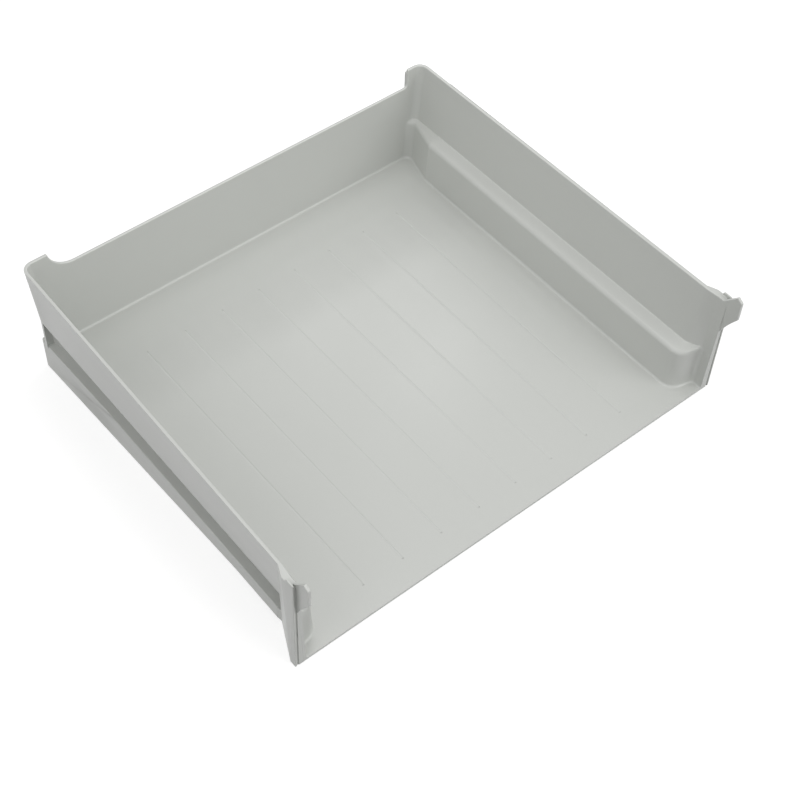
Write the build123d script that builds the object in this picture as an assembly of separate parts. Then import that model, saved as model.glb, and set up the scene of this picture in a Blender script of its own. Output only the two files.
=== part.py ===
from build123d import *
import os
from math import atan2, cos, degrees, hypot, radians, sin, tan

# A refrigerator drawer moulded in one piece: a wide shallow tray, open at the front.
# Lengths in millimetres. X runs across, Y from the front edge to the back, Z up.
# The tray stands on its skirt and on the front edge of its floor; the origin is under its middle.

# Overall sizes
width = 440.0  # over the two front posts
depth = 378.0  # front edge of the floor to the outside of the back wall
rim_height = 107.7  # underside of the floor to the top of the side walls
back_height = 87.7  # underside of the floor to the top of the back wall
rear_drop = 17.8  # depth of the skirt below the floor, at the back
wall = 2.8  # side walls, back wall, ledge, flange and skirt
floor_thick = 3.0

# Upper side walls
post_step = 4.4  # outside of the rim, in from the outside of the post
side_taper = 5.4  # closing in of each side wall towards the back
side_start = 21.0  # front edge to the straight run of the wall

# Lower side walls, set in to leave room for the cabinet's runners
foot_inset = 32.0  # inside of the lower wall, in from the outside of the post
foot_lean = 2.2
foot_taper = 0.8
foot_start = 15.5  # front edge to the front corner of the lower wall
flare_out = 10.4  # outward sweep of the lower wall at the back corner
flare_length = 36.0
ledge_height = 47.6  # underside of the floor to the outer edge of the ledge
ledge_fall = 2.6  # slope of the ledge towards the inside
ledge_inset = 15.8  # outer edge of the ledge, in from the outside of the post
ledge_taper = 1.8

# Front posts: an inner jamb and an outer plate, with a slot for the front panel between them
jamb_inset = 10.0  # inside of the jamb at the floor, in from the outside of the post
jamb_lean = 4.0
jamb_depth = 10.0
plate = 1.5  # outer plate
plate_foot = 6.5  # straight run of the outer plate at the floor
plate_head = 13.5  # straight run of the outer plate at the rim
plate_rise = 3.3  # crest of the outer plate above the rim
slot_width = 1.7
slot_depth = 3.5

# Hook that carries the front panel, at the top of each jamb
hook_reach = 13.5
hook_rise = 13.5  # peak above the rim
hook_head = 19.0  # height of the free end
hook_root = 34.0  # rim to the lower end of the hook's curve

# Runner groove, flange and skirt on the outside
flange_height = 16.3  # underside of the floor to the top of the flange
flange_lip = 14.5  # height of the flange's edge
flange_inset = 14.4  # edge of the flange, in from the outside of the post
flange_taper = 2.1
skirt_inset = 17.0  # skirt at its front end, in from the outside of the post
skirt_spread = 1.8  # opening out of each skirt towards the back
skirt_start = 41.0  # front edge to the straight run of the skirt
groove_back = 11.0  # outside of the back wall to the end of the runner groove

# Back wall with an ear at each end and a fin behind each ear. A wide curve leads up to the left ear,
# a tight one to the right ear.
left_ear_inset = 34.0  # inner edge of the ear, in from the outside of the post
left_ear_radius = 24.0
right_ear_inset = 28.0
right_ear_radius = 4.0
fin_inset = 21.0  # middle of each fin, in from the outside of the post
fin_thick = 4.0
fin_reach = 8.0
fin_drop = 10.7  # rim to the top of the fin
fin_height = 27.0

# Floor lines
line_count = 8
line_pitch = 39.26
line_width = 2.0
line_depth = 0.5
line_front = 23.0
line_back = 57.0  # from the outside of the back wall

# Rounding
corner_radius = 7.2  # back corners, inside
foot_corner = 13.0  # front corner of the lower wall
bend_radius = 4.0  # other upright bends
skirt_corner = 2.5  # back corners of skirt and flange
floor_radius = 2.4  # floor to walls, inside
ledge_radius = 3.5
edge_radius = 0.8

half = width / 2
over = 5.0  # reach of cutting shapes past the surface they cut
almost_straight = 179.5  # corners flatter than this angle stay unrounded


def rounded(points, radii):
    """Closed outline through the points, each corner rounded by its own radius."""
    count = len(points)
    tangents = []
    for i in range(count):
        here = Vector(*points[i])
        before = (Vector(*points[i - 1]) - here).normalized()
        after = (Vector(*points[(i + 1) % count]) - here).normalized()
        turn = before.get_angle(after)
        if turn > almost_straight:
            tangents.append((here + before, None, here + after))
            continue
        reach = radii[i] / tan(radians(turn / 2))
        middle = (before + after).normalized()
        centre = here + middle * hypot(radii[i], reach)
        tangents.append((here + before * reach, centre - middle * radii[i], here + after * reach))
    edges = []
    for i in range(count):
        first, middle, last = tangents[i]
        edges.append(ThreePointArc(first, middle, last) if middle else Line(first, last))
        edges.append(Line(last, tangents[(i + 1) % count][0]))
    return make_face(edges)


def both_sides(right):
    """Right-hand points, front to back, followed by their mirror images."""
    return right + [(-x, y) for x, y in reversed(right)]


def outward(points, amount, front):
    """Side line moved outwards by a wall, from the front plane to behind the back wall."""
    lines = [((0.0, front), (1.0, 0.0))]
    for (ax, ay), (bx, by) in zip(points, points[1:]):
        size = hypot(bx - ax, by - ay)
        nx = (by - ay) / size
        ny = -(bx - ax) / size
        lines.append(((ax + nx * amount, ay + ny * amount), (bx - ax, by - ay)))
    lines.append(((0.0, points[-1][1] + amount), (1.0, 0.0)))
    moved = []
    for ((ax, ay), (ux, uy)), ((bx, by), (vx, vy)) in zip(lines, lines[1:]):
        cross = ux * vy - uy * vx
        if abs(cross) < 0.001 * hypot(ux, uy) * hypot(vx, vy):
            moved.append((bx, by))
            continue
        along = ((bx - ax) * vy - (by - ay) * vx) / cross
        moved.append((ax + ux * along, ay + uy * along))
    return moved


def stack(lines, levels, radii):
    """Solid through rounded outlines at rising levels."""
    faces = []
    for line, z in zip(lines, levels):
        faces.append(Pos(0, 0, z) * rounded(both_sides(line), radii + radii[::-1]))
    return loft(faces, ruled=True)


def level_edges(solid, z):
    """Level edges of a solid at a height."""
    return solid.edges().filter_by_position(Axis.Z, z - 0.01, z + 0.01)


# Inside lines of the right-hand wall, front to back: at the floor, below and above the ledge, and at the rim
back_inside = depth - wall
flare_start = back_inside - flare_length
foot_x = half - foot_inset
jamb_x = half - jamb_inset
jamb_ledge = jamb_x + jamb_lean * ledge_height / rim_height
rim_x = half - post_step - wall


def side_x(y, front, taper):
    """Inside of the upper side wall at a distance from the front edge, for a level of the wall."""
    return front - taper * (y - side_start) / (back_inside - side_start)


def ledge_x(y):
    """Outer edge of the ledge."""
    return side_x(y, half - ledge_inset, ledge_taper)


flare_top = min(foot_x - foot_taper + flare_out + foot_lean, ledge_x(back_inside) - wall)
line_floor = [
    (jamb_x, -over),
    (jamb_x, jamb_depth),
    (foot_x, foot_start),
    (foot_x - foot_taper, flare_start),
    (flare_top - foot_lean, back_inside),
]
line_foot = [
    (jamb_ledge, -over),
    (jamb_ledge, jamb_depth),
    (foot_x + foot_lean, foot_start),
    (foot_x - foot_taper + foot_lean, flare_start),
    (flare_top, back_inside),
]
line_ledge = [
    (jamb_ledge, -over),
    (jamb_ledge, jamb_depth),
    (ledge_x(side_start), side_start),
    (ledge_x(flare_start), flare_start),
    (ledge_x(back_inside), back_inside),
]
line_rim = [
    (jamb_x + jamb_lean, -over),
    (jamb_x + jamb_lean, jamb_depth),
    (rim_x, side_start),
    (side_x(flare_start, rim_x, side_taper), flare_start),
    (rim_x - side_taper, back_inside),
]
lines_outside = [outward(line, wall, 0.0) for line in (line_floor, line_foot, line_ledge, line_rim)]
ledge_low = ledge_height - ledge_fall


def on_ledge(share):
    """Line on the ledge, part of the way from its inner edge to its outer edge."""
    pairs = zip(line_foot, line_ledge)
    return [(ax + (bx - ax) * share, ay + (by - ay) * share) for (ax, ay), (bx, by) in pairs]


# The inner edge of the ledge is rounded in three steps
ledge_width = ledge_x(depth / 2) - foot_x - foot_lean
lines_inside = [line_floor, line_foot]
levels_inside = [floor_thick, ledge_low - ledge_radius]
for angle in (30, 60, 90):
    share = ledge_radius * (1 - cos(radians(angle))) / ledge_width
    lines_inside.append(on_ledge(share))
    levels_inside.append(ledge_low - ledge_radius * (1 - sin(radians(angle))) + ledge_fall * share)
lines_inside += [line_ledge, line_rim, line_rim]
levels_inside += [ledge_height, rim_height, rim_height + over]

# Walls, ledge and floor: an outer body less the cavity
radii_inside = [edge_radius, bend_radius, foot_corner, bend_radius, corner_radius]
radii_outside = [edge_radius, bend_radius, foot_corner, bend_radius, corner_radius + wall]
levels_outside = [0.0, ledge_low - wall, ledge_height - wall, rim_height]
cavity = stack(lines_inside, levels_inside, radii_inside)
cavity = fillet([e for e in level_edges(cavity, floor_thick) if e.center().Y > 0], floor_radius)
shell = stack(lines_outside, levels_outside, radii_outside)

# Skirt and flange: a lid under the runner groove, open below
skirt_x = half - skirt_inset
flange_x = half - flange_inset
skirt_bottom = -rear_drop - over
skirt_radii = [edge_radius, skirt_corner, skirt_corner, edge_radius]
hollow_x = skirt_x - wall
skirt_line = [(skirt_x, skirt_start), (skirt_x + skirt_spread, depth)]
flange_line = [(flange_x, skirt_start), (flange_x - flange_taper, depth)]
hollow_line = [(hollow_x, -over), (hollow_x + skirt_spread, back_inside)]
skirt = extrude(
    Pos(0, 0, skirt_bottom) * rounded(both_sides(skirt_line), skirt_radii),
    flange_height - skirt_bottom,
)
flange = extrude(
    Pos(0, 0, flange_height - flange_lip) * rounded(both_sides(flange_line), skirt_radii),
    flange_lip,
)
hollow = extrude(
    Pos(0, 0, skirt_bottom) * rounded(both_sides(hollow_line), skirt_radii),
    flange_height - wall - skirt_bottom,
)

# Closed back end of the runner groove
lip_face = rounded(both_sides(lines_outside[2]), radii_outside + radii_outside[::-1])
pillar = extrude(Pos(0, 0, flange_height - wall) * lip_face, ledge_height - flange_height)
pillar &= Pos(0, depth - groove_back + depth / 2, 0) * Box(2 * width, depth, 4 * rim_height)

# Outer plate of each post: leaves the skirt and the side wall and runs forward to the front edge.
# Below the ledge it is a thin wall in front of an open pocket; above, it grows into the side wall.
plate_in = half - plate
wall_x = rim_x + wall
post_back = side_start + wall
post_mid = ledge_low - wall


def between(low, high):
    """Value at the foot of the upper post, from its values at the floor and at the rim."""
    return low + (high - low) * post_mid / rim_height


run_mid = between(plate_foot, plate_head)
end_mid = (between(skirt_x, wall_x), between(skirt_start, post_back))
plate_low = [
    (half, 0.0),
    (half, plate_foot),
    (skirt_x, skirt_start),
    (hollow_x, skirt_start),
    (plate_in, plate_foot),
    (plate_in, 0.0),
]
plate_mid = [
    (half, 0.0),
    (half, run_mid),
    end_mid,
    (end_mid[0] - wall, end_mid[1]),
    (plate_in, run_mid),
    (plate_in, 0.0),
]
post_low = [
    (half, 0.0),
    (half, run_mid),
    end_mid,
    (end_mid[0] - 2 * wall, end_mid[1]),
    (jamb_x, jamb_depth),
    (jamb_x, 0.0),
]
post_high = [
    (half, 0.0),
    (half, plate_head),
    (wall_x, post_back),
    (wall_x - 2 * wall, post_back),
    (jamb_x, jamb_depth),
    (jamb_x, 0.0),
]


def column(sections):
    """Solid through straight-sided outlines at rising levels."""
    return loft([Pos(0, 0, z) * make_face(Polyline(*line, close=True)) for line, z in sections], ruled=True)


post = column([(plate_low, skirt_bottom), (plate_low, 0.0), (plate_mid, post_mid)])
post += column([(post_low, post_mid), (post_high, rim_height)])
crest = Polyline(
    (0.0, rim_height - wall),
    (0.0, rim_height + plate_rise),
    (plate_head - 2 * wall, rim_height + plate_rise),
    (plate_head - wall, rim_height - wall),
    close=True,
)
post += extrude(Plane.YZ.offset(plate_in) * make_face(crest), plate)

# Panel slot between jamb and plate
slot_x = plate_in - slot_width
slot = Pos(slot_x + slot_width / 2, 0, rim_height) * Box(slot_width, 2 * slot_depth, 4 * rim_height)

# Hook in the plane of the jamb: a curved neck and a blunt head with its peak behind the free end
hook_x = slot_x - wall
hook_top = rim_height + hook_rise
nose_top = hook_top - hook_reach / 4
nose_low = nose_top - hook_head
neck_top = hook_top - hook_rise / 2
hook_side = make_face(
    [
        Line((jamb_depth, rim_height - wall), (slot_depth, rim_height)),
        Spline((slot_depth, rim_height), (-hook_reach * 0.2, neck_top), (-hook_reach * 0.65, hook_top)),
        Line((-hook_reach * 0.65, hook_top), (-hook_reach, nose_top)),
        Line((-hook_reach, nose_top), (-hook_reach, nose_low)),
        Spline(
            (-hook_reach, nose_low),
            (-hook_reach * 0.45, nose_low - hook_head * 0.65),
            (0.0, rim_height - hook_root),
        ),
        Line((0.0, rim_height - hook_root), (jamb_depth, rim_height - hook_root)),
        Line((jamb_depth, rim_height - hook_root), (jamb_depth, rim_height - wall)),
    ]
)
hook = extrude(Plane.YZ.offset(hook_x) * hook_side, wall)

# Back wall: lowered between the ears, with a curve at each end
left_x = left_ear_inset - half
left_low = left_x + left_ear_radius
left_top = back_height + left_ear_radius
right_x = half - right_ear_inset
right_low = right_x - right_ear_radius
right_top = back_height + right_ear_radius
notch_top = 2 * rim_height
notch = make_face(
    [
        Line((left_low, back_height), (right_low, back_height)),
        RadiusArc((right_low, back_height), (right_x, right_top), -right_ear_radius),
        Line((right_x, right_top), (right_x, notch_top)),
        Line((right_x, notch_top), (left_x, notch_top)),
        Line((left_x, notch_top), (left_x, left_top)),
        RadiusArc((left_x, left_top), (left_low, back_height), -left_ear_radius),
    ]
)
back_cut = extrude(Plane.XZ.offset(-depth - over) * notch, wall + 2 * over)

# Fin behind each ear, with a sloping lower end
fin_top = rim_height - fin_drop
fin_side = Polyline(
    (back_inside, fin_top),
    (depth + fin_reach, fin_top),
    (depth + fin_reach, fin_top - fin_height + fin_reach),
    (depth, fin_top - fin_height),
    (back_inside, fin_top - fin_height),
    close=True,
)
fin = extrude(Plane.YZ.offset(half - fin_inset - fin_thick / 2) * make_face(fin_side), fin_thick)

# Floor lines
line_length = depth - line_front - line_back
line_middle = line_front + line_length / 2
floor_line = extrude(
    Pos(0, line_middle, floor_thick - line_depth) * SlotOverall(line_length, line_width, rotation=90),
    over,
)
floor_lines = [place * floor_line for place in GridLocations(line_pitch, 0, line_count, 1)]

side_parts = post + fin
tray = shell + (skirt + flange - hollow) + pillar + side_parts + mirror(side_parts, Plane.YZ)
tray = tray - cavity - back_cut - floor_lines - [slot, mirror(slot, Plane.YZ)]
tray = tray + hook + mirror(hook, Plane.YZ)

# The tray stands tipped forward on its skirt, which ends in one plane with the front edge of the floor
tray = Rot(X=degrees(atan2(rear_drop, depth))) * tray
tray -= Pos(0, 0, -depth) * Box(2 * width, 4 * depth, 2 * depth)
tray = Pos(0, -tray.bounding_box().center().Y, 0) * tray

os.makedirs("parts", exist_ok=True)
export_step(tray, "parts/drawer_tray.step")
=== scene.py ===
# %% [markdown]
# # A refrigerator drawer tray, moulded in one piece
#
# The object is a wide, shallow tray of pale grey plastic, open at the front. It came out of one
# mould, so it has no joints, and everything that is made here belongs to one body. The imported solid
# gives the sizes; Blender gives the softened edges, the webs at the posts, the beds of the floor lines
# and the satin finish.

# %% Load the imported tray
import math

import bmesh
import bpy
from mathutils import Matrix, Vector, kdtree
from mathutils.bvhtree import BVHTree


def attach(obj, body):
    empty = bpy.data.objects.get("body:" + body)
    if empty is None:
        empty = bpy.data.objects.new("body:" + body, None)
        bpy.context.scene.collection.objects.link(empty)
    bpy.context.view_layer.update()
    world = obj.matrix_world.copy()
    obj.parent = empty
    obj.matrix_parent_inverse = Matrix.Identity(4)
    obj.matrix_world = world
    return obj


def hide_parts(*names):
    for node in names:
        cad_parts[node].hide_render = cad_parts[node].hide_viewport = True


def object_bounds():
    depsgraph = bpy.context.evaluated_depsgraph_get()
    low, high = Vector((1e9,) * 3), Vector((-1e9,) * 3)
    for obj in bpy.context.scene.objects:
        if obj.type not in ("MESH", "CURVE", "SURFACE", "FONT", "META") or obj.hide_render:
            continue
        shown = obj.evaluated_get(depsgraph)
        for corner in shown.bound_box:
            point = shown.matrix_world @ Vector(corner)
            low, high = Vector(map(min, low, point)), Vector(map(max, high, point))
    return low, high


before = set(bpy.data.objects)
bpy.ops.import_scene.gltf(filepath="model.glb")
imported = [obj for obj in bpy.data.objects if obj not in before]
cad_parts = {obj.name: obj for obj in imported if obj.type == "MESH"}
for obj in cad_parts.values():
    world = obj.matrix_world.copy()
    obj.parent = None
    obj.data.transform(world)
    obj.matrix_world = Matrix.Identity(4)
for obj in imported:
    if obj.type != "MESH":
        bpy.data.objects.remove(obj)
cad_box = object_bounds()
scene = bpy.context.scene
MM = 0.001
print("tray size in mm:", [round(v / MM, 1) for v in cad_box[1] - cad_box[0]])

# %% [markdown]
# ## The camera
#
# The view was found by matching the straight edges of the tray, so the lens and the place are fixed
# numbers. The camera has no roll. An empty with a tracking constraint would also aim it, but three
# angles say the same in one line.

# %% Camera
view_lens = bpy.data.cameras.new("view")
view_lens.lens = 72.1055
view_lens.sensor_width = 36.0
camera = bpy.data.objects.new("view", view_lens)
camera.location = (-0.556177, -0.713881, 1.029577)
camera.rotation_euler = [math.radians(a) for a in (40.7304, -0.0136, -39.2965)]
scene.collection.objects.link(camera)
scene.camera = camera
print("camera height in mm:", round(camera.location.z / MM))

# %% [markdown]
# ## The tray's own mesh
#
# A moulding has no knife edges: the steel is cut with small radii, and the plastic shrinks away from
# the rest. The solid has sharp rims, so a copy of its mesh is merged, its flat areas are joined into
# single faces, and what is still sharp gets rounded. Drawing the tray again by hand would give the
# same shape with more ways to drift from the solid.

# %% Copy, merge and flatten the solid's mesh
tray_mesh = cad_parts["drawer_tray"].data.copy()
tray_mesh.name = "tray_shell"
shell = bmesh.new()
shell.from_mesh(tray_mesh)
bmesh.ops.remove_doubles(shell, verts=shell.verts, dist=0.005 * MM)
bmesh.ops.dissolve_limit(
    shell,
    angle_limit=math.radians(0.35),
    verts=shell.verts,
    edges=shell.edges,
    use_dissolve_boundaries=False,
)
open_edges = [e for e in shell.edges if len(e.link_faces) != 2]
print("tray faces after joining:", len(shell.faces), "open edges:", len(open_edges))

# %% [markdown]
# ## Where the floor is
#
# The tray stands tipped forward on its raked skirt, so its floor isn't level. The floor is the largest
# upward face of the copy. Its slope and its front edge give a frame in which the tray is straight, and
# later steps place things there in millimetres: across, back from the front edge, and up from the floor.

# %% Floor frame
floor_face = max((f for f in shell.faces if f.normal.z > 0.9), key=lambda f: f.calc_area())
rake = math.atan2(-floor_face.normal.y, floor_face.normal.z)
front_edge = min((v.co for v in floor_face.verts), key=lambda co: co.y)
front_y, front_z = front_edge.y, front_edge.z
floor_frame = Matrix.Translation((0, front_y, front_z)) @ Matrix.Rotation(rake, 4, "X")
floor_up = floor_face.normal.copy()
print("floor slope in degrees:", round(math.degrees(rake), 2))

# %% [markdown]
# ## Rounding the edges
#
# A Bevel modifier does the rounding, with a weight for each edge. Edges that run on into each other form
# a chain with one weight, so the radius doesn't jump along a rim. A thick rim takes the full radius, a
# thin plate a smaller one, and the walls of the floor lines, half a millimetre high, none.

# %% Chains of sharp edges
EDGE_RADIUS = 0.9 * MM
SHARP = math.radians(33)
bmesh.ops.remove_doubles(shell, verts=shell.verts, dist=0.1 * MM)
weights = shell.edges.layers.float.new("bevel_weight_edge")
sharp_edges = [e for e in shell.edges if len(e.link_faces) == 2 and e.calc_face_angle() > SHARP]
sharp_at = {}
for edge in sharp_edges:
    for corner in edge.verts:
        sharp_at.setdefault(corner, []).append(edge)
chain_of = {}
for first in sharp_edges:
    waiting = [first] if first not in chain_of else []
    while waiting:
        edge = waiting.pop()
        chain_of[edge] = first
        for corner in edge.verts:
            if len(sharp_at[corner]) == 2:
                waiting += [other for other in sharp_at[corner] if other not in chain_of]
print("sharp edges:", len(sharp_edges), "chains:", len(set(chain_of.values())))

# %% [markdown]
# ## How much radius each chain can take
#
# Two roundings on one face must not meet. The first limit is the reach of the faces beside an edge. The
# second is the length of the next edge along the face, which the rounding uses up at the corner. Chains
# that ask for too much get less, until nothing collides; an edge that would get almost nothing stays sharp.

# %% Limit the radii
share = {chain: 1.0 for chain in chain_of.values()}
left_sharp = set()


def share_of(edge):
    """Part of the full radius that an edge gets."""
    return share[chain_of[edge]] if edge in chain_of and edge not in left_sharp else 0.0


def room_beside(edge):
    """Smaller reach of the two faces away from the edge."""
    start = edge.verts[0].co
    along = (edge.verts[1].co - start).normalized()
    reaches = []
    for face in edge.link_faces:
        offsets = [v.co - start for v in face.verts]
        reaches.append(max((o - along * o.dot(along)).length for o in offsets))
    return min(reaches)


def collisions(loop):
    """Radii at which the rounding of a face's edge meets what is next to it, with the edges concerned."""
    before, here, after = loop.link_loop_prev, loop, loop.link_loop_next
    corners = [c.vert.co for c in (before, here, after, after.link_loop_next)]
    turns = [(corners[i - 1] - corners[i]).angle(corners[i + 1] - corners[i], 0.0) for i in (1, 2)]
    sines, tans = [math.sin(a) for a in turns], [math.tan(a) for a in turns]
    ka, kb, kc = (share_of(c.edge) for c in (before, here, after))
    if ka > 0 or kc > 0:
        product = tans[0] * tans[1]
        scale = product * (ka * sines[1] + kc * sines[0]) + kb * sines[0] * sines[1] * (tans[0] + tans[1])
        if scale:
            radius = here.edge.calc_length() * product * sines[0] * sines[1] / scale
            yield radius, (before.edge, here.edge, after.edge)
    for k, side, sine in ((ka, before, sines[0]), (kc, after, sines[1])):
        if k == 0 and sine > 0.35:
            yield side.edge.calc_length() * sine / kb, (here.edge,)


def limit_radii():
    """Lowers the shares until no rounding collides with its neighbours."""
    for turn in range(40):
        worst = 1.0
        for face in shell.faces:
            for loop in face.loops:
                if share_of(loop.edge) <= 0:
                    continue
                found = [c for c in collisions(loop) if c[0] >= 0]
                radius, edges = min(found, key=lambda c: c[0], default=(1.0, ()))
                fit = radius / (1.05 * EDGE_RADIUS)
                worst = min(worst, fit)
                if fit < 1 and share_of(loop.edge) * fit < 0.25:
                    left_sharp.add(loop.edge)
                elif fit < 1:
                    for chain in {chain_of[e] for e in edges if share_of(e) > 0}:
                        share[chain] *= max(fit, 0.8)
        if worst > 0.999:
            return turn


for edge in sharp_edges:
    fit = 0.42 * room_beside(edge) / EDGE_RADIUS
    if fit < 0.25:
        left_sharp.add(edge)
    else:
        share[chain_of[edge]] = min(share[chain_of[edge]], fit)
print("rounds of limiting:", limit_radii(), "edges left sharp:", len(left_sharp))

# %% [markdown]
# ## Rounding, with a look for folds
#
# The result is held against the solid's own surface. A triangle that looks the other way is a fold, and a
# vertex far from the surface is a spike. The edges beside it go back to sharp, and the bevel runs again.

# %% Round off
edge_points = []
for edge in sharp_edges:
    steps = max(1, int(edge.calc_length() / (1.0 * MM)))
    start, stop = [v.co for v in edge.verts]
    edge_points += [(start.lerp(stop, (i + 0.5) / steps), edge) for i in range(steps)]
near_edges = kdtree.KDTree(len(edge_points))
for i, (place, edge) in enumerate(edge_points):
    near_edges.insert(place, i)
near_edges.balance()
surface = BVHTree.FromBMesh(shell)

tray = bpy.data.objects.new("tray_shell", tray_mesh)
scene.collection.objects.link(tray)
round_off = tray.modifiers.new("round_off", "BEVEL")
round_off.width = EDGE_RADIUS
round_off.segments = 3
round_off.limit_method = "WEIGHT"
round_off.use_clamp_overlap = False


def evaluated(piece):
    """Plain mesh of a piece with its modifiers."""
    depsgraph = bpy.context.evaluated_depsgraph_get()
    return bpy.data.meshes.new_from_object(piece.evaluated_get(depsgraph))


def faults_of(mesh):
    """Places where the rounding folded over or left the surface."""
    places = [v.co.copy() for v in mesh.vertices if surface.find_nearest(v.co)[3] > 0.5 * EDGE_RADIUS]
    mesh.calc_loop_triangles()
    for triangle in mesh.loop_triangles:
        corners = [mesh.vertices[i].co for i in triangle.vertices]
        middle = sum(corners, Vector()) / 3
        if triangle.area > 1e-9 and triangle.normal.dot(surface.find_nearest(middle)[1]) < 0:
            places += [c.copy() for c in corners]
    return places


for attempt in range(6):
    for edge in sharp_edges:
        edge[weights] = share_of(edge)
    shell.to_mesh(tray_mesh)
    rounded_mesh = evaluated(tray)
    faults = faults_of(rounded_mesh)
    print("try", attempt, "faults:", len(faults))
    if not faults:
        break
    for place in faults:
        left_sharp.update(edge_points[i][1] for spot, i, gap in near_edges.find_range(place, 1.5 * MM))
whole_length = sum(e.calc_length() for e in sharp_edges)
rounded_length = sum(e.calc_length() for e in sharp_edges if share_of(e) > 0)
print("rounded length in mm:", round(rounded_length / MM), "of", round(whole_length / MM))
shell.free()

# %% [markdown]
# ## Even shading
#
# Large flat faces next to thin rounded strips shade badly if every corner takes the plain mean of its
# faces. Weighted normals let the large faces decide, so the walls stay flat and the edges catch the light.

# %% Smooth the rounded mesh
tray.modifiers.clear()
tray.data = rounded_mesh
rounded_mesh.shade_smooth()
rounded_mesh.set_sharp_from_angle(angle=math.radians(38))
even = tray.modifiers.new("even_shading", "WEIGHTED_NORMAL")
even.keep_sharp = True
even.weight = 80
tray_mesh = evaluated(tray)
tray_mesh.name = "tray_shell"
tray.modifiers.clear()
tray.data = tray_mesh
print("tray faces after rounding:", len(tray_mesh.polygons))

# %% [markdown]
# ## Webs behind the panel slots
#
# Each front post has a slot for the front panel, between the jamb and the outer plate. The picture shows a
# grey line there, so the slot has a back, while the solid leaves it open below the ledge. A narrow web
# closes it, and a bar carries the same depth, which is a guess, on up the slot. A third web closes the
# gap between the rear of the post and the flange. They could be cut from the shell with booleans, but
# outlines in plan that are raised and mirrored are shorter and always closed.

# %% Outlines of the webs in plan
POST_X = cad_box[1][0]
PLATE_IN = POST_X - 1.5 * MM
SLOT_IN = PLATE_IN - 1.7 * MM
SLOT_DEEP = 1.0 * MM
SLOT_END = 3.6 * MM
WEB_IN = POST_X - 8.3 * MM
WEB_FRONT = 0.15 * MM
WEB_BACK = 5.5 * MM
BITE = 0.1 * MM
low_plan = [
    (WEB_IN, WEB_FRONT),
    (SLOT_IN, WEB_FRONT),
    (SLOT_IN, SLOT_DEEP),
    (PLATE_IN + 8 * BITE, SLOT_DEEP),
    (PLATE_IN + 8 * BITE, WEB_BACK),
    (WEB_IN, WEB_BACK),
]
high_plan = [
    (SLOT_IN - BITE, SLOT_DEEP),
    (PLATE_IN + BITE, SLOT_DEEP),
    (PLATE_IN + BITE, SLOT_END),
    (SLOT_IN - BITE, SLOT_END),
]
REAR_IN = POST_X - 23.0 * MM
REAR_FRONT = 36.5 * MM
REAR_BACK = 41.5 * MM
rear_plan = [
    (REAR_IN, REAR_FRONT),
    (POST_X - 15.0 * MM, REAR_FRONT),
    (POST_X - 14.5 * MM, REAR_BACK),
    (REAR_IN, REAR_BACK),
]
print("corners of the outlines:", len(low_plan), len(high_plan), len(rear_plan))

# %% Raise and mirror the webs
FOOT_Z = -2.9 * MM
LEDGE_Z = 41.0 * MM
SLOT_TOP_Z = 103.5 * MM
FLANGE_Z = (-1.15 * MM, 13.2 * MM)
WEB_LEAN = 1.6 * MM
webs_shape = bmesh.new()


def raise_web(plan, side, low_z, high_z, lean):
    """Closed prism over an outline; its inner face leans with the jamb."""
    rings = []
    for z, shift in ((low_z, 0.0), (high_z, lean)):
        points = [(side * (x + (shift if x == WEB_IN else 0.0)), y, z) for x, y in plan]
        rings.append([webs_shape.verts.new(floor_frame @ Vector(p)) for p in points])
    low, high = rings
    webs_shape.faces.new(low)
    webs_shape.faces.new(high)
    for i in range(len(plan)):
        j = (i + 1) % len(plan)
        webs_shape.faces.new((low[i], low[j], high[j], high[i]))


for side in (1, -1):
    raise_web(low_plan, side, FOOT_Z, LEDGE_Z, WEB_LEAN)
    raise_web(high_plan, side, LEDGE_Z - BITE, SLOT_TOP_Z, 0.0)
    raise_web(rear_plan, side, *FLANGE_Z, 0.0)
bmesh.ops.recalc_face_normals(webs_shape, faces=webs_shape.faces)
webs_mesh = bpy.data.meshes.new("post_webs")
webs_shape.to_mesh(webs_mesh)
webs_shape.free()
webs = bpy.data.objects.new("post_webs", webs_mesh)
scene.collection.objects.link(webs)
print("faces in the post webs:", len(webs_mesh.polygons))

# %% [markdown]
# ## Beds of the floor lines
#
# Eight shallow lines run along the floor. In the steel they are ridges with a rounded crest, so each
# line in the plastic has a rounded bed. They repeat at one pitch, which is what Geometry Nodes are for:
# a thin bar with a hollowed top is laid on the points of a mesh line, one bar in each line of the solid.

# %% Geometry Nodes tree for the beds
beds_tree = bpy.data.node_groups.new("floor_line_beds", "GeometryNodeTree")
beds_tree.interface.new_socket("Geometry", in_out="INPUT", socket_type="NodeSocketGeometry")
beds_tree.interface.new_socket("Geometry", in_out="OUTPUT", socket_type="NodeSocketGeometry")


def tree_input(name, kind, value):
    """Named input of the tree; returns the identifier that the modifier uses."""
    socket = beds_tree.interface.new_socket(name, in_out="INPUT", socket_type=kind)
    socket.default_value = value
    return socket.identifier


BED_COUNT = tree_input("Count", "NodeSocketInt", 2)
BED_PITCH = tree_input("Pitch", "NodeSocketFloat", 0.03)
BED_WIDTH = tree_input("Width", "NodeSocketFloat", 0.002)
BED_LENGTH = tree_input("Length", "NodeSocketFloat", 0.2)
BED_HEIGHT = tree_input("Height", "NodeSocketFloat", 0.0005)
BED_HOLLOW = tree_input("Hollow", "NodeSocketFloat", 0.0003)
BED_FINISH = beds_tree.interface.new_socket(
    "Finish", in_out="INPUT", socket_type="NodeSocketMaterial"
).identifier
print("inputs of the beds tree:", len(beds_tree.interface.items_tree) - 2)

# %% Wire the tree
bed_nodes = beds_tree.nodes
bed_in = bed_nodes.new("NodeGroupInput")
bed_out = bed_nodes.new("NodeGroupOutput")


def wire(source, target):
    """Joins two sockets of the beds tree."""
    beds_tree.links.new(source, target)


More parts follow.
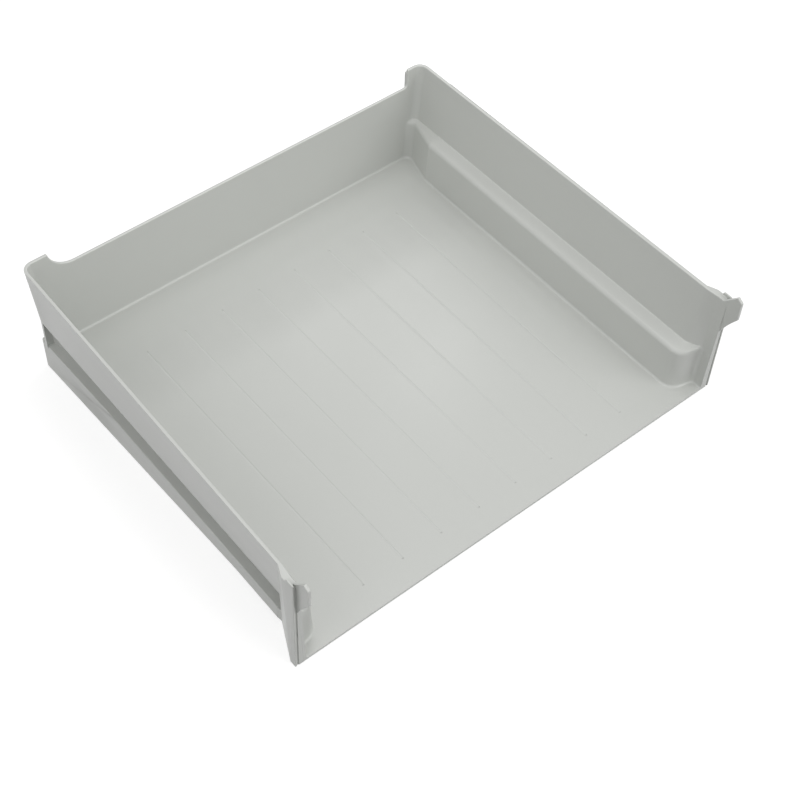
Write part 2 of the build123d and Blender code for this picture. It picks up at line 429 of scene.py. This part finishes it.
def calc(tree, operation, first, second):
    """Math node; each value is a socket or a number."""
    node = tree.nodes.new("ShaderNodeMath")
    node.operation = operation
    for socket, value in zip(node.inputs, (first, second)):
        if isinstance(value, (int, float)):
            socket.default_value = value
        else:
            tree.links.new(value, socket)
    return node.outputs[0]


steps = calc(beds_tree, "SUBTRACT", bed_in.outputs["Count"], 1.0)
span = calc(beds_tree, "MULTIPLY", steps, bed_in.outputs["Pitch"])
first_place = bed_nodes.new("ShaderNodeCombineXYZ")
wire(calc(beds_tree, "MULTIPLY", span, -0.5), first_place.inputs["X"])
step_vector = bed_nodes.new("ShaderNodeCombineXYZ")
wire(bed_in.outputs["Pitch"], step_vector.inputs["X"])
places = bed_nodes.new("GeometryNodeMeshLine")
wire(bed_in.outputs["Count"], places.inputs["Count"])
wire(first_place.outputs[0], places.inputs["Start Location"])
wire(step_vector.outputs[0], places.inputs["Offset"])

bar_size = bed_nodes.new("ShaderNodeCombineXYZ")
for axis, name in zip("XYZ", ("Width", "Length", "Height")):
    wire(bed_in.outputs[name], bar_size.inputs[axis])
bar = bed_nodes.new("GeometryNodeMeshCube")
bar.inputs["Vertices X"].default_value = 9
bar.inputs["Vertices Y"].default_value = 13
wire(bar_size.outputs[0], bar.inputs["Size"])

where = bed_nodes.new("ShaderNodeSeparateXYZ")
wire(bed_nodes.new("GeometryNodeInputPosition").outputs[0], where.inputs[0])
doubled = calc(beds_tree, "MULTIPLY", where.outputs["X"], 2.0)
across = calc(beds_tree, "DIVIDE", doubled, bed_in.outputs["Width"])
hollow = calc(beds_tree, "SUBTRACT", calc(beds_tree, "MULTIPLY", across, across), 1.0)
sink = bed_nodes.new("ShaderNodeCombineXYZ")
wire(calc(beds_tree, "MULTIPLY", hollow, bed_in.outputs["Hollow"]), sink.inputs["Z"])
shaped = bed_nodes.new("GeometryNodeSetPosition")
wire(bar.outputs["Mesh"], shaped.inputs["Geometry"])
wire(calc(beds_tree, "GREATER_THAN", where.outputs["Z"], 0.0), shaped.inputs["Selection"])
wire(sink.outputs[0], shaped.inputs["Offset"])

laid = bed_nodes.new("GeometryNodeInstanceOnPoints")
wire(places.outputs["Mesh"], laid.inputs["Points"])
wire(shaped.outputs["Geometry"], laid.inputs["Instance"])
real = bed_nodes.new("GeometryNodeRealizeInstances")
wire(laid.outputs["Instances"], real.inputs["Geometry"])
finish_node = bed_nodes.new("GeometryNodeSetMaterial")
wire(real.outputs["Geometry"], finish_node.inputs["Geometry"])
wire(bed_in.outputs["Finish"], finish_node.inputs["Material"])
wire(finish_node.outputs["Geometry"], bed_out.inputs["Geometry"])
print("nodes in the beds tree:", len(bed_nodes))

# %% [markdown]
# ## The plastic
#
# The tray is pale grey plastic with a satin face, almost even in tone: a faint cloudiness, a fine grain
# from the mould, and edges that have been rubbed a little paler and duller. An image would need a map of
# the tray; noise on object coordinates needs none. Both materials share these effects, so they are one
# shader node group with its own inputs.

# %% Node group for the moulded finish
finish = bpy.data.node_groups.new("moulded_finish", "ShaderNodeTree")
for name, kind, value in (
    ("Tone", "NodeSocketColor", (0.5, 0.5, 0.5, 1)),
    ("Cloudiness", "NodeSocketFloat", 0.03),
    ("Gloss", "NodeSocketFloat", 0.4),
    ("Wear", "NodeSocketFloat", 0.0),
    ("Painted Shade", "NodeSocketFloat", 0.0),
):
    finish.interface.new_socket(name, in_out="INPUT", socket_type=kind).default_value = value
for name, kind in (
    ("Color", "NodeSocketColor"),
    ("Roughness", "NodeSocketFloat"),
    ("Height", "NodeSocketFloat"),
):
    finish.interface.new_socket(name, in_out="OUTPUT", socket_type=kind)
f_in = finish.nodes.new("NodeGroupInput")
f_out = finish.nodes.new("NodeGroupOutput")
f_place = finish.nodes.new("ShaderNodeTexCoord").outputs["Object"]


def grain(tree, place, scale, detail, stretch=(1, 1, 1)):
    """Noise on object coordinates, in a given tree."""
    mapping = tree.nodes.new("ShaderNodeMapping")
    mapping.inputs["Scale"].default_value = stretch
    tree.links.new(place, mapping.inputs["Vector"])
    node = tree.nodes.new("ShaderNodeTexNoise")
    node.inputs["Scale"].default_value = scale
    node.inputs["Detail"].default_value = detail
    tree.links.new(mapping.outputs[0], node.inputs["Vector"])
    return node.outputs[0]


def spread(tree, value, low, high):
    """Value from 0 to 1 spread over another range; the ends may be sockets."""
    node = tree.nodes.new("ShaderNodeMapRange")
    tree.links.new(value, node.inputs["Value"])
    for name, end in (("To Min", low), ("To Max", high)):
        if isinstance(end, (int, float)):
            node.inputs[name].default_value = end
        else:
            tree.links.new(end, node.inputs[name])
    return node.outputs[0]


clouds = grain(finish, f_place, 9.0, 3.0)
speckle = grain(finish, f_place, 700.0, 2.0)
scuffs = grain(finish, f_place, 60.0, 4.0, (1.0, 0.12, 1.0))
rubbed = calc(finish, "MULTIPLY", f_in.outputs["Wear"], spread(finish, scuffs, 0.2, 1.4))
shade = calc(finish, "MULTIPLY", calc(finish, "SUBTRACT", clouds, 0.5), f_in.outputs["Cloudiness"])
shade = calc(finish, "ADD", shade, spread(finish, speckle, -0.008, 0.008))
shade = calc(finish, "ADD", shade, calc(finish, "MULTIPLY", rubbed, 0.08))
# Painted shade: this input darkens the colour by up to 5 percent, in patches from the scuffs noise; below,
# it also adds a little roughness.
painted_shade = calc(finish, "MULTIPLY", f_in.outputs["Painted Shade"], spread(finish, scuffs, 0.6, 1.4))
shade = calc(finish, "ADD", shade, calc(finish, "MULTIPLY", painted_shade, -0.05))
tone = finish.nodes.new("ShaderNodeVectorMath")
tone.operation = "SCALE"
finish.links.new(f_in.outputs["Tone"], tone.inputs[0])
finish.links.new(calc(finish, "ADD", shade, 1.0), tone.inputs["Scale"])
finish.links.new(tone.outputs[0], f_out.inputs["Color"])
rough = calc(finish, "ADD", f_in.outputs["Gloss"], spread(finish, scuffs, -0.05, 0.05))
rough = calc(finish, "ADD", rough, calc(finish, "MULTIPLY", calc(finish, "ADD", rubbed, painted_shade), 0.08))
finish.links.new(rough, f_out.inputs["Roughness"])
height = calc(finish, "ADD", clouds, calc(finish, "MULTIPLY", speckle, 0.012))
finish.links.new(height, f_out.inputs["Height"])
print("nodes in the moulded finish:", len(finish.nodes))

# %% [markdown]
# ## Two materials from one finish
#
# The tray and the beds of its lines are the same plastic. The beds are a little darker, which is painted
# shade in the lines, and they aren't rubbed. On the tray, a band of painted shade, a little darker and
# rougher, crosses the floor in front of the back wall, and the wear follows an attribute that is 1 on
# the narrow faces of the rounded edges and 0 elsewhere.

# %% Store the wear along the edges on the mesh
wear = tray_mesh.attributes.new("edge_wear", "FLOAT", "FACE")
for face, item in zip(tray_mesh.polygons, wear.data):
    corners = [tray_mesh.vertices[i].co for i in face.vertices]
    longest = max((a - b).length for a, b in zip(corners, corners[1:] + corners[:1]))
    narrow = face.area < 1.3 * EDGE_RADIUS * longest
    spots = [*corners, face.center]
    item.value = float(narrow and all(near_edges.find(s)[2] < 1.5 * EDGE_RADIUS for s in spots))
print("worn faces:", sum(1 for item in wear.data if item.value > 0.5))


# %% Materials
def plastic(name, tone, gloss, cloudiness):
    """Material with the moulded finish; returns it with its group node and its tree."""
    material = bpy.data.materials.new(name)
    material.use_nodes = True
    tree = material.node_tree
    shader = tree.nodes["Principled BSDF"]
    shader.inputs["IOR"].default_value = 1.49
    group = tree.nodes.new("ShaderNodeGroup")
    group.node_tree = finish
    group.inputs["Tone"].default_value = (*tone, 1)
    group.inputs["Gloss"].default_value = gloss
    group.inputs["Cloudiness"].default_value = cloudiness
    bump = tree.nodes.new("ShaderNodeBump")
    bump.inputs["Strength"].default_value = 0.6
    bump.inputs["Distance"].default_value = 0.6 * MM
    tree.links.new(group.outputs["Color"], shader.inputs["Base Color"])
    tree.links.new(group.outputs["Roughness"], shader.inputs["Roughness"])
    tree.links.new(group.outputs["Height"], bump.inputs["Height"])
    tree.links.new(bump.outputs[0], shader.inputs["Normal"])
    return material, group, tree


TRAY_TONE = (0.578, 0.59, 0.565)
tray_plastic, tray_group, tray_tree = plastic("satin_grey_plastic", TRAY_TONE, 0.3, 0.04)
bed_plastic, bed_group, _ = plastic("line_bed_plastic", TRAY_TONE, 0.3, 0.04)
# Painted shade in the floor lines: the beds are darkened a little.
bed_group.inputs["Painted Shade"].default_value = 0.3
worn = tray_tree.nodes.new("ShaderNodeAttribute")
worn.attribute_name = "edge_wear"
tray_tree.links.new(worn.outputs["Fac"], tray_group.inputs["Wear"])


def fade(tree, value, start, stop):
    """Soft step from 0 to 1 between two places."""
    node = tree.nodes.new("ShaderNodeMapRange")
    node.interpolation_type = "SMOOTHSTEP"
    node.inputs["From Min"].default_value = start
    node.inputs["From Max"].default_value = stop
    tree.links.new(value, node.inputs["Value"])
    return node.outputs[0]


# Painted shade: a band across the floor in front of the back wall is darkened a little and made a little
# rougher, kept to the floor surface.
BAND_FRONT = (0.07, 0.11)
BAND_BACK = (0.165, 0.13)
place = tray_tree.nodes.new("ShaderNodeSeparateXYZ")
tray_tree.links.new(tray_tree.nodes.new("ShaderNodeTexCoord").outputs["Object"], place.inputs[0])
behind = calc(tray_tree, "SUBTRACT", place.outputs["Y"], front_y)
slope = calc(tray_tree, "MULTIPLY", behind, math.tan(rake))
above = calc(tray_tree, "SUBTRACT", calc(tray_tree, "SUBTRACT", place.outputs["Z"], slope), front_z)
starts = fade(tray_tree, place.outputs["Y"], *BAND_FRONT)
stops = fade(tray_tree, place.outputs["Y"], *BAND_BACK)
band = calc(tray_tree, "MULTIPLY", starts, stops)
band = calc(tray_tree, "MULTIPLY", band, fade(tray_tree, above, 4 * MM, 1 * MM))
tray_tree.links.new(band, tray_group.inputs["Painted Shade"])
for mesh in (tray_mesh, webs_mesh):
    mesh.materials.clear()
    mesh.materials.append(tray_plastic)
print("materials:", tray_plastic.name, bed_plastic.name)

# %% [markdown]
# ## Laying the beds
#
# The tree gets the sizes of the solid's lines as inputs, and its result becomes a plain mesh, because
# instances are lost in an export. It is then turned into the slope of the floor.

# %% Lay the beds in the lines of the solid
LINE_COUNT = 8
LINE_PITCH = 39.26 * MM
LINE_WIDTH = 2.0 * MM
LINE_DEPTH = 0.5 * MM
LINE_FRONT = 23.0 * MM
LINE_BACK = 321.0 * MM
beds = bpy.data.objects.new("floor_line_beds", bpy.data.meshes.new("floor_line_beds"))
scene.collection.objects.link(beds)
lay = beds.modifiers.new("lay_beds", "NODES")
lay.node_group = beds_tree
lay[BED_COUNT] = LINE_COUNT
lay[BED_PITCH] = LINE_PITCH
lay[BED_WIDTH] = LINE_WIDTH
lay[BED_LENGTH] = LINE_BACK - LINE_FRONT - LINE_WIDTH
lay[BED_HEIGHT] = LINE_DEPTH
lay[BED_HOLLOW] = 0.35 * LINE_DEPTH
lay[BED_FINISH] = bed_plastic
bed_mesh = evaluated(beds)
bed_mesh.name = beds.name
beds.modifiers.clear()
beds.data = bed_mesh
bed_place = Vector((0, (LINE_FRONT + LINE_BACK) / 2, -LINE_DEPTH / 2 - 0.03 * MM))
bed_mesh.transform(floor_frame @ Matrix.Translation(bed_place))
bed_mesh.shade_smooth()
bed_mesh.set_sharp_from_angle(angle=math.radians(40))
print("faces in the beds:", len(bed_mesh.polygons))

# %% [markdown]
# ## Floor and background
#
# The tray is shown on white. The studio floor is a real plane, so the tray has a shadow to stand on.
# For the camera it is paper that glows a little, so that it reaches white; for all other rays it is
# a plain mid-grey, so that it doesn't throw too much light up at the outside of the walls.

# %% Studio floor
floor_mesh = bpy.data.meshes.new("studio_floor")
REACH = 6.0
floor_corners = [(x * REACH, y * REACH, 0) for x, y in ((-1, -1), (1, -1), (1, 1), (-1, 1))]
floor_mesh.from_pydata(floor_corners, [], [(0, 1, 2, 3)])
studio_floor = bpy.data.objects.new("studio_floor", floor_mesh)
scene.collection.objects.link(studio_floor)
paper = bpy.data.materials.new("studio_paper")
paper.use_nodes = True
paper_nodes = paper.node_tree.nodes
paper_nodes.clear()


def seen_directly(tree):
    """1 for rays from the camera and for mirrored or refracted ones, else 0."""
    path = tree.nodes.new("ShaderNodeLightPath")
    seen = calc(tree, "MAXIMUM", path.outputs["Is Camera Ray"], path.outputs["Is Glossy Ray"])
    return calc(tree, "MAXIMUM", seen, path.outputs["Is Transmission Ray"])


def paper_join(kind, first, second):
    """Mix or Add Shader of the paper."""
    node = paper_nodes.new(kind)
    sockets = [s for s in node.inputs if s.type == "SHADER"]
    paper.node_tree.links.new(first, sockets[0])
    paper.node_tree.links.new(second, sockets[1])
    return node


dull = paper_nodes.new("ShaderNodeBsdfDiffuse")
dull.inputs["Color"].default_value = (0.12, 0.12, 0.12, 1)
shadowed = paper_nodes.new("ShaderNodeBsdfDiffuse")
shadowed.inputs["Color"].default_value = (0.5, 0.5, 0.5, 1)
glow = paper_nodes.new("ShaderNodeEmission")
glow.inputs["Strength"].default_value = 0.68
bright = paper_join("ShaderNodeAddShader", shadowed.outputs[0], glow.outputs[0])
paper_mix = paper_join("ShaderNodeMixShader", dull.outputs[0], bright.outputs[0])
paper.node_tree.links.new(seen_directly(paper.node_tree), paper_mix.inputs["Fac"])
paper_out = paper_nodes.new("ShaderNodeOutputMaterial")
paper.node_tree.links.new(paper_mix.outputs[0], paper_out.inputs["Surface"])
floor_mesh.materials.append(paper)
print("studio floor:", 2 * REACH, "m wide")

# %% [markdown]
# ## Light
#
# The picture has soft light with hardly a shadow. A dim white surround gives the base, two large
# softboxes at the front and on the left add the direction, and a small one above the back corner keeps
# the ledge and the floor there from going dark. Four tiny lamps stand where the floor mirrors them to
# the viewer, and give it the soft spots of the picture.

# %% Surround and softboxes
scene.view_settings.view_transform = "Standard"
surround = bpy.data.worlds.new("surround")
surround.use_nodes = True
scene.world = surround
background = surround.node_tree.nodes["Background"]
background.inputs["Color"].default_value = (1, 1, 1, 1)
SURROUND = 0.62
strength = spread(surround.node_tree, seen_directly(surround.node_tree), SURROUND, 1.0)
surround.node_tree.links.new(strength, background.inputs["Strength"])


def softbox(name, place, aim, size, power):
    """Large soft lamp that faces a point."""
    lamp = bpy.data.lights.new(name, "AREA")
    lamp.shape = "RECTANGLE"
    lamp.size, lamp.size_y = size
    lamp.energy = power
    holder = bpy.data.objects.new(name, lamp)
    holder.location = place
    holder.rotation_euler = (Vector(aim) - Vector(place)).to_track_quat("-Z", "Y").to_euler()
    scene.collection.objects.link(holder)
    return holder


softbox("front_box", (0.8, -2.0, 1.4), (0, 0.1, 0.05), (2.0, 1.4), 20)
softbox("left_box", (-1.8, -0.3, 1.7), (0, 0.05, 0), (1.6, 1.6), 8)
softbox("corner_box", (0.1, 0.12, 1.0), (0.14, 0.14, 0), (0.35, 0.35), 1.1)
for x, y in ((-5, 254), (79, 242), (37, 162), (77, 173)):
    spot = floor_frame @ Vector((x * MM, y * MM, 0))
    mirrored = (spot - camera.location).normalized().reflect(floor_up)
    softbox("room_lamp", spot + 0.6 * mirrored, spot, (0.02, 0.02), 0.04)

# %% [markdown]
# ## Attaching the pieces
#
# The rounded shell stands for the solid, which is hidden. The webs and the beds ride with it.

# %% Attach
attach(tray, "root")
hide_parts("drawer_tray")
for piece in (webs, beds):
    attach(piece, "root")
